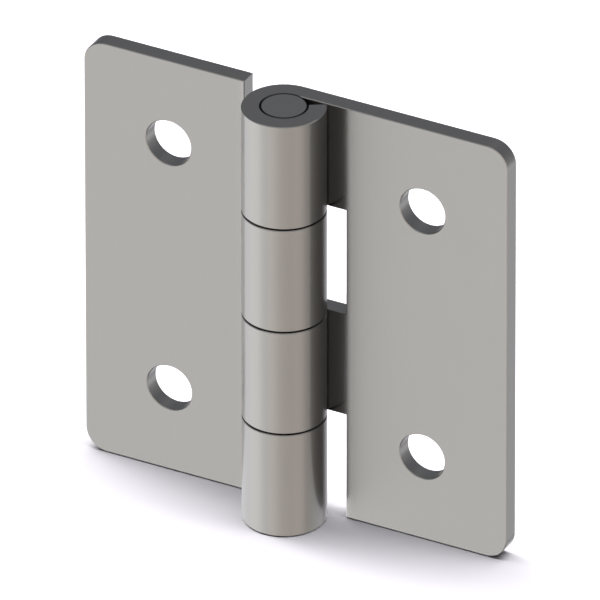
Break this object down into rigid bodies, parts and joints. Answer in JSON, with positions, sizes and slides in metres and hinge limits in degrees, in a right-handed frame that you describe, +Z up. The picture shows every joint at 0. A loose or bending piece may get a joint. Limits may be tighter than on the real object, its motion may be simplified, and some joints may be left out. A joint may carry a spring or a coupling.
{
  "type": "leaf hinge",
  "caption": "Stainless sheet-metal leaf hinge with rolled knuckles, a plain flush pin and round screw holes in two square leaves.",
  "frame": {"origin": "on the pin's axis, at the hinge's lower end, which is the centre of the box's bottom", "axes": "+Z up along the pin, +X along the right leaf, +Y out of the leaves' backs, towards the surfaces that they are screwed to"},
  "size_m": [0.05, 0.009, 0.05],
  "materials": {
    "stainless_sheet": "plain stainless steel sheet, satin to bright, tumbled rims",
    "stainless_pin": "plain drawn stainless steel pin with faced ends"
  },
  "bodies": {
    "right_side": {"right_leaf": "stainless_sheet", "hinge_pin": "stainless_pin"},
    "left_side": {"left_leaf": "stainless_sheet"}
  },
  "joints": [
    {"name": "fold", "type": "hinge", "parent": "right_side", "child": "left_side", "pos_m": [0, 0, 0.025], "axis": [0, 0, 1], "range_deg": [-104, 190]}
  ]
}
